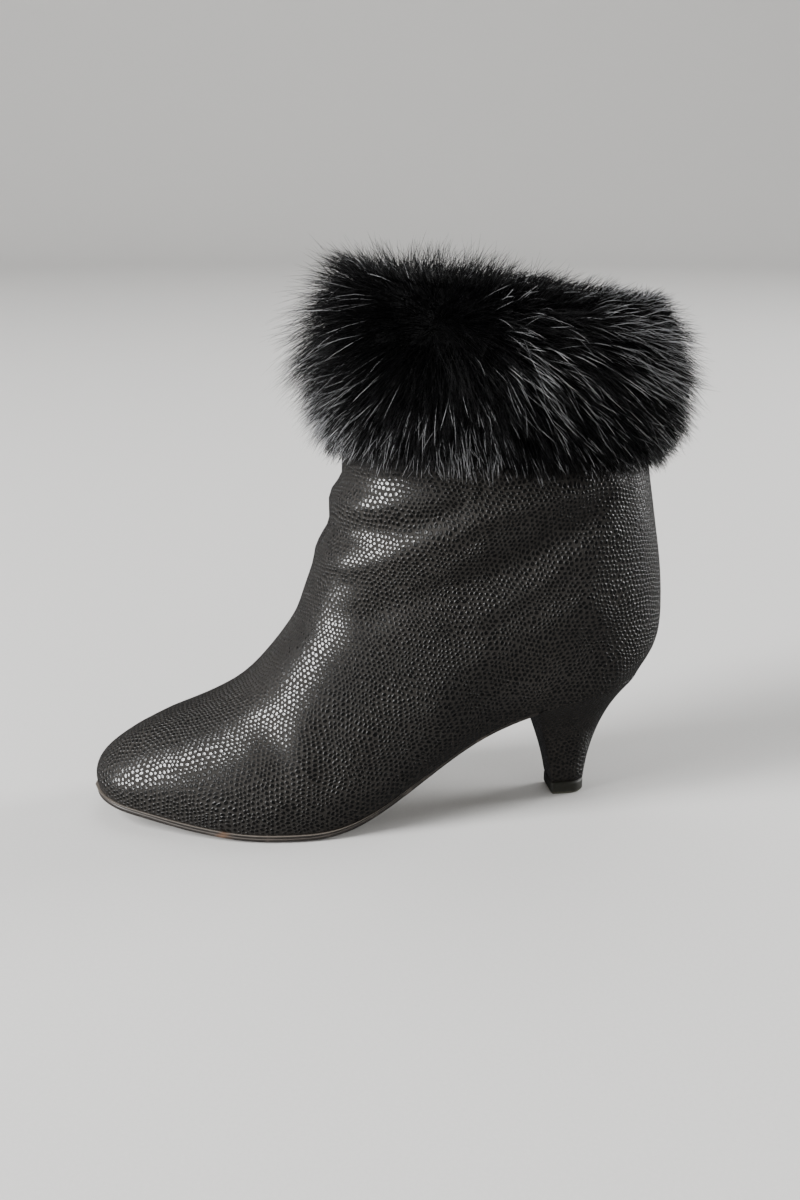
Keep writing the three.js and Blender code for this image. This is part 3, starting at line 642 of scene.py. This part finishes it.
def build_upper():
    bm = merged_copy("upper", crisp_over=38, crispness=0.9)
    outermost = max(bm.faces, key=lambda face: face.calc_center_median().y)
    outside = patch_round(outermost, 50)
    for face in bm.faces:
        face.material_index = 0 if face in outside else 1
    materials = [
        pebbled_leather("glazed_pebble_embossed_cowhide"),
        smooth_leather("drum_dyed_pigskin_lining", "#15120f", "#211d19", 0.7),
    ]
    upper = piece_from(bm, "boot_upper", materials)
    lay_flat(upper, upper_seams)
    smoothed(upper, 2)
    mesh = upper.data
    points, out = vertex_values(mesh, "co"), vertex_values(mesh, "normal")
    outwards = out * np.where(lining_points(mesh), -1.0, 1.0)[:, None]
    push = sum(crease_push(points, crease) for crease in CREASES) + unevenness(points)
    push *= clear_of_sole(points)
    mesh.vertices.foreach_set("co", (points + outwards * push[:, None]).ravel())
    mesh.update()
    settle(upper, "upper")
    return upper


# Heel, sole and insole

SEAM_CLOSES = 0.35 * MM  # the solids stand this far apart, and the glued leather doesn't


def close_seam(bm):
    """Raises the faces that are glued to the upper, up to it."""
    glued = {v for face in bm.faces if face.normal.z > 0.5 for v in face.verts}
    bmesh.ops.translate(bm, verts=list(glued), vec=(0, 0, SEAM_CLOSES))


def build_heel():
    bm = merged_copy("heel", crisp_over=45, crispness=0.8)
    close_seam(bm)
    heel = piece_from(bm, "covered_heel", [pebbled_leather("glazed_pebble_heel_cover")])
    lay_flat(heel, lambda made: sharp_edges(made, 45))
    smoothed(heel, 2)
    settle(heel, "heel")


def build_outsole():
    bm = merged_copy("outsole", crisp_over=50, crispness=0.7)
    close_seam(bm)
    outsole = piece_from(bm, "leather_outsole", [sole_leather("burnished_sole_leather")])
    smoothed(outsole, 2)
    settle(outsole, "outsole")


def build_insole():
    bm = merged_copy("insole", crisp_over=50, crispness=0.7)
    insole = piece_from(bm, "insole_sock", [smooth_leather("glued_sheepskin_sock", "#241f1b", "#332c27", 0.75)])
    smoothed(insole, 2)
    settle(insole, "insole")


def build_top_piece():
    bm = merged_copy("heel_top_piece", crisp_over=40, crispness=0.8)
    top_piece = piece_from(bm, "heel_tip", [heel_rubber("moulded_heel_rubber")])
    smoothed(top_piece, 2)
    settle(top_piece, "heel_top_piece")


# The fur

# The pelt's section from its lower edge up over the collar: distance off the leather as a share of PELT_DEPTH,
# height as a share of the pelt's, and the length of the hair there as a share of the coat's: at the sides, at the
# front, where the fur stands out farthest, and at the back, where its upper edge is rounder.
PELT_SECTION = [
    {"at": 0.0, "off": 0.35, "up": 0.0, "long": 0.24, "front": 0.26, "back": 0.24},
    {"at": 0.07, "off": 0.6, "up": 0.07, "long": 0.34, "front": 0.4, "back": 0.34},
    {"at": 0.25, "off": 1.0, "up": 0.25, "long": 0.58, "front": 0.74, "back": 0.58},
    {"at": 0.5, "off": 1.05, "up": 0.5, "long": 0.84, "front": 1.04, "back": 0.84},
    {"at": 0.75, "off": 0.92, "up": 0.75, "long": 1.0, "front": 1.45, "back": 0.9},
    {"at": 0.93, "off": 0.62, "up": 0.91, "long": 0.98, "front": 1.02, "back": 0.6},
    {"at": 1.0, "off": 0.3, "up": 0.97, "long": 0.84, "front": 0.84, "back": 0.42},
    {"at": 1.08, "off": 0.04, "up": 0.98, "long": 0.66, "front": 0.66, "back": 0.36},
    {"at": 1.2, "off": -0.05, "up": 0.91, "long": 0.5, "front": 0.5, "back": 0.36},
]
PELT_TURNS = 96
PELT_HEIGHTS = 24


def unit(rows):
    return rows / np.maximum(np.linalg.norm(rows, axis=1, keepdims=True), 1e-12)


class Pelt:
    """The skin that the fur grows from, read off the shaft of the finished upper. Turns go round the leg from the
    front by way of the outer side."""

    def __init__(self, upper):
        tree = tree_of(upper.data)
        self.low, self.high = COLLAR_BACK - PELT_BACK_HEIGHT, COLLAR_BACK - PELT_RIM
        self.radii = np.zeros((PELT_TURNS + 1, PELT_HEIGHTS))
        for i in range(PELT_TURNS + 1):
            turn = 2 * math.pi * i / PELT_TURNS
            out = Vector((math.sin(turn), -math.cos(turn), 0))
            for k in range(PELT_HEIGHTS):
                middle = LEG_MIDDLE.copy()
                middle.z = self.low + (self.high - self.low) * k / (PELT_HEIGHTS - 1)
                hit = tree.ray_cast(middle + out * BOOT_LENGTH / 2, -out)[0]
                self.radii[i, k] = (hit - middle).length
        self.column = {key: [row[key] for row in PELT_SECTION] for key in PELT_SECTION[0]}

    def radius(self, turn, z):
        """Distance of the leather from the middle of the leg."""
        across = (turn / (2 * math.pi) % 1) * PELT_TURNS
        level = np.clip((z - self.low) / (self.high - self.low), 0, 1) * (PELT_HEIGHTS - 1)
        i, k = np.minimum(across.astype(int), PELT_TURNS - 1), np.minimum(level.astype(int), PELT_HEIGHTS - 2)
        a, b = across - i, level - k
        near = self.radii[i, k] * (1 - b) + self.radii[i, k + 1] * b
        far = self.radii[i + 1, k] * (1 - b) + self.radii[i + 1, k + 1] * b
        return near * (1 - a) + far * a

    def share(self, at, key):
        return np.interp(at, self.column["at"], self.column[key])

    def hair_length(self, turn, at):
        """Share of the coat's length, passing from the front over the sides to the back."""
        ahead, behind = np.maximum(np.cos(turn), 0) ** 3, np.maximum(-np.cos(turn), 0)
        side = self.share(at, "long") * (1 - ahead - behind)
        return side + self.share(at, "front") * ahead + self.share(at, "back") * behind

    def point(self, turn, at):
        """A place on the pelt, which is taller and reaches higher at the front."""
        out = np.stack([np.sin(turn), -np.cos(turn), 0 * turn], 1)
        rim_y = LEG_MIDDLE.y - np.cos(turn) * self.radius(turn, np.full_like(turn, self.high))
        forward = (HEEL_BACK - rim_y) / BOOT_LENGTH / COLLAR_FRONT
        top = COLLAR_BACK + COLLAR_RISE * forward + PELT_RIM
        height = PELT_BACK_HEIGHT + (PELT_FRONT_HEIGHT - PELT_BACK_HEIGHT) * forward
        z = top - height * (1 - self.share(at, "up"))
        place = np.array(LEG_MIDDLE) + out * (self.radius(turn, z) + PELT_DEPTH * self.share(at, "off"))[:, None]
        place[:, 2] = z
        return place

    def outward(self, turn, at):
        step = 0.02
        upwards = self.point(turn, at + step) - self.point(turn, at - step)
        onwards = self.point(turn + step, at) - self.point(turn - step, at)
        return unit(np.cross(onwards, upwards))


# The coats, from the skin outwards: strands, their length and drawn width in mm, how far they stand up from the
# skin, how many locks they gather into and how much, where along a strand its rings are, the least share of strands
# that are painted grey as highlights, and the part of the pelt that they cover. Real guard hair is about 0.1 mm thick
# and would vanish between the pixels, so it is drawn wider.
WOOL = {"long": (7, 12), "wide": 0.32, "stand": 0.95, "gather": 0.25, "rings": (0.0, 0.4, 0.78), "painted_highlight": 0.0}
GUARD = {"long": (15, 26), "wide": 0.22, "stand": 0.66, "gather": 0.32, "rings": (0.0, 0.3, 0.58, 0.84), "painted_highlight": 0.06}
COATS = [
    {"name": "underwool_low", "strands": 9000, "locks": 800, "span": (0.0, 0.5), "seed": 11, **WOOL},
    {"name": "underwool_high", "strands": 9000, "locks": 800, "span": (0.5, 1.2), "seed": 12, **WOOL},
    {"name": "guard_hair_low", "strands": 8600, "locks": 420, "span": (0.0, 0.33), "seed": 21, **GUARD},
    {"name": "guard_hair_middle", "strands": 8600, "locks": 420, "span": (0.33, 0.68), "seed": 22, **GUARD},
    {"name": "guard_hair_high", "strands": 8600, "locks": 420, "span": (0.68, 1.2), "seed": 23, **GUARD},
]
WHORL = np.array([42.0, 9.0, 205.0]) * MM  # the hair lies away from here, and from its mirror place inside
WHORL_TURNS = 22 * MM  # from the middle of the leg outwards, over which the hair passes from one to the other

# Where the strands painted grey as highlights, standing for glints of the lamps, show most, seen from either side, as
# (place from the boot's middle, height) in mm, with the reach of each place and the share of its strands that are
# painted. Elsewhere it is the coat's own share.
PAINTED_HIGHLIGHT_PLACES = [
    {"name": "lower_front", "at": (-26, 170), "reach": 17, "share": 0.4},
    {"name": "above_vamp", "at": (22, 160), "reach": 15, "share": 0.3},
    {"name": "middle_part", "at": (42, 196), "reach": 12, "share": 0.32},
    {"name": "upper_back", "at": (92, 206), "reach": 24, "share": 0.4},
]
WHORL_REACH = 24 * MM  # the hair is all black this near the whorl


LIE = 1.5  # how much a hair's lie counts beside how far it stands up
DROOP = np.array([0, 0, -0.2])
UNRULY = 0.24  # how far each hair's way strays from the comb's
CREST = {"out": 0.4, "lie": 0.45, "up": 0.7}  # the way of the hair that stands on the rim
RIM_FROM, RIM_REACH = 0.05, 0.75  # it begins where the skin turns upwards by this, and is full this much farther
FALL_VARIES = 0.12
GATHER_VARIES = (0.4, 1.3)
LOCK_BATCH = 2000  # strands whose leaders are found at once, which keeps the table of distances small


def from_whorl(points):
    whorl = np.tile(WHORL, (len(points), 1))
    whorl[:, 0] *= np.clip(points[:, 0] / WHORL_TURNS, -1, 1)
    return points - whorl


def comb(points, outward, stand, random):
    """The way each hair lies: off the skin, away from the whorl and a little down, and up over the rim."""
    away = from_whorl(points)
    lie = unit(away - outward * np.sum(away * outward, axis=1, keepdims=True))
    way = unit(outward * stand + lie * (1 - stand) * LIE + DROOP)
    level = points - np.array(LEG_MIDDLE)
    level[:, 2] = 0
    crest = unit(unit(level) * CREST["out"] + lie * CREST["lie"] + np.array([0, 0, CREST["up"]]))
    over = np.clip((outward[:, 2] - RIM_FROM) / RIM_REACH, 0, 1)[:, None]
    return unit(way * (1 - over) + crest * over + random.normal(0, UNRULY, points.shape))


def painted_highlight_share(points, least):
    """How many of the strands rooted at each point are painted grey as highlights."""
    share = np.full(len(points), least)
    for place in PAINTED_HIGHLIGHT_PLACES:
        apart = np.linalg.norm(points[:, 1:] - np.array(place["at"]) * MM, axis=1) / (place["reach"] * MM)
        share = np.maximum(share, place["share"] * np.exp(-(apart**2)))
    near = np.linalg.norm(from_whorl(points), axis=1) / WHORL_REACH
    return share * np.clip(near * 2 - 1, 0, 1)


def grow_coat(pelt, coat, material):
    """Strands rooted all over one part of the pelt, each bending down and towards the tip of its lock's leader."""
    random = np.random.default_rng(coat["seed"])
    count = coat["strands"]
    turn = random.uniform(0, 2 * math.pi, count)
    at = random.uniform(*coat["span"], count)
    root = pelt.point(turn, at)
    way = comb(root, pelt.outward(turn, at), coat["stand"], random)
    length = random.uniform(*coat["long"], count) * MM * pelt.hair_length(turn, at)
    fall = DROOP + random.normal(0, FALL_VARIES, (count, 3))
    tip = root + (way + fall) * length[:, None]

    leaders = random.choice(count, coat["locks"], replace=False)
    leader = np.empty(count, int)
    for start in range(0, count, LOCK_BATCH):
        part = slice(start, start + LOCK_BATCH)
        apart = np.linalg.norm(root[part, None, :] - root[None, leaders, :], axis=2)
        leader[part] = leaders[apart.argmin(axis=1)]
    pull = (tip[leader] - tip) * (coat["gather"] * random.uniform(*GATHER_VARIES, count))[:, None]

    shares = np.array([*coat["rings"], 1.0])
    lines = (
        root[:, None]
        + way[:, None] * length[:, None, None] * shares[:, None]
        + fall[:, None] * length[:, None, None] * shares[:, None] ** 2
        + pull[:, None] * shares[:, None] ** 1.6
    )
    # Painted highlights: a share of the strands is painted grey, most where the lamps catch the fur, to stand for its
    # glints.
    painted_highlight_chance = painted_highlight_share(root, coat["painted_highlight"]) if coat["painted_highlight"] else 0.0
    painted_highlight = (random.uniform(0, 1, count) < painted_highlight_chance) * random.uniform(0.35, 1, count)
    strands(coat["name"], lines, shares, coat["wide"] * MM, painted_highlight, random, material)


def strands(name, lines, shares, wide, painted_highlight, random, material):
    """Three-sided tapering hairs along their centre lines, closed at both ends, as one mesh."""
    count, rings = lines.shape[0], lines.shape[1] - 1
    ahead = unit(lines[:, -1] - lines[:, 0])
    side = unit(np.cross(ahead, unit(random.normal(0, 1, (count, 3)))))
    other = np.cross(ahead, side)
    radius = wide / 2 * random.uniform(0.75, 1.25, count) * (1 - 0.15 * (painted_highlight > 0))
    taper = (1 - shares[:-1]) ** 0.6
    per_hair = rings * 3 + 1
    points = np.zeros((count, per_hair, 3))
    for k in range(3):
        angle = 2 * math.pi * k / 3
        off = side * math.cos(angle) + other * math.sin(angle)
        points[:, k:-1:3] = lines[:, :-1] + off[:, None] * (radius[:, None] * taper)[:, :, None]
    points[:, -1] = lines[:, -1]

    around = [(0, 1), (1, 2), (2, 0)]
    faces = [(2, 1, 0)]
    faces += [(3 * r + a, 3 * r + b, 3 * r + b + 3, 3 * r + a + 3) for r in range(rings - 1) for a, b in around]
    faces += [(per_hair - 4 + a, per_hair - 4 + b, per_hair - 1) for a, b in around]
    sizes = np.tile([len(face) for face in faces], count)
    corners = np.concatenate(faces)[None] + (np.arange(count) * per_hair)[:, None]
    starts = np.concatenate([[0], np.cumsum(sizes)[:-1]])

    mesh = bpy.data.meshes.new(name)
    mesh.vertices.add(count * per_hair)
    mesh.vertices.foreach_set("co", points.ravel())
    mesh.loops.add(corners.size)
    mesh.loops.foreach_set("vertex_index", corners.ravel())
    mesh.polygons.add(len(sizes))
    mesh.polygons.foreach_set("loop_start", starts)
    mesh.update(calc_edges=True)
    along = np.append(np.repeat(shares[:-1], 3), 1.0)
    for key, values in (("along", np.tile(along, count)), ("painted_highlight", np.repeat(painted_highlight, per_hair))):
        mesh.attributes.new(key, "FLOAT", "POINT").data.foreach_set("value", values)
    mesh.materials.append(material)
    mesh.shade_smooth()
    piece = bpy.data.objects.new(name, mesh)
    bpy.context.scene.collection.objects.link(piece)
    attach(piece, "root")


WOOL_COVERS = 2.2 * MM  # the solid's outline runs through the underwool, this far above the skin


def build_fur(upper):
    body = piece_from(merged_copy("fur_cuff"), "fur_body", [fur_pelt("felted_underwool")])
    smoothed(body, 1)
    points, out = vertex_values(body.data, "co"), vertex_values(body.data, "normal")
    body.data.vertices.foreach_set("co", (points - out * WOOL_COVERS).ravel())
    body.data.update()
    settle(body, "fur_cuff")
    pelt = Pelt(upper)
    wool = fur_hair("dyed_underwool", "#030303", "#060607", 0.8, 0.12)
    # Guard hair is black, and #c9cacd grey towards the tip of a strand with a painted highlight.
    guard = fur_hair("dyed_guard_hair_with_painted_highlights", "#040405", "#c9cacd", 0.4, 0.2)
    for coat in COATS:
        grow_coat(pelt, coat, guard if coat["painted_highlight"] else wool)


set_up_camera()
build_floor()
build_lights()
boot_upper = build_upper()
build_heel()
build_outsole()
build_insole()
build_top_piece()
build_fur(boot_upper)
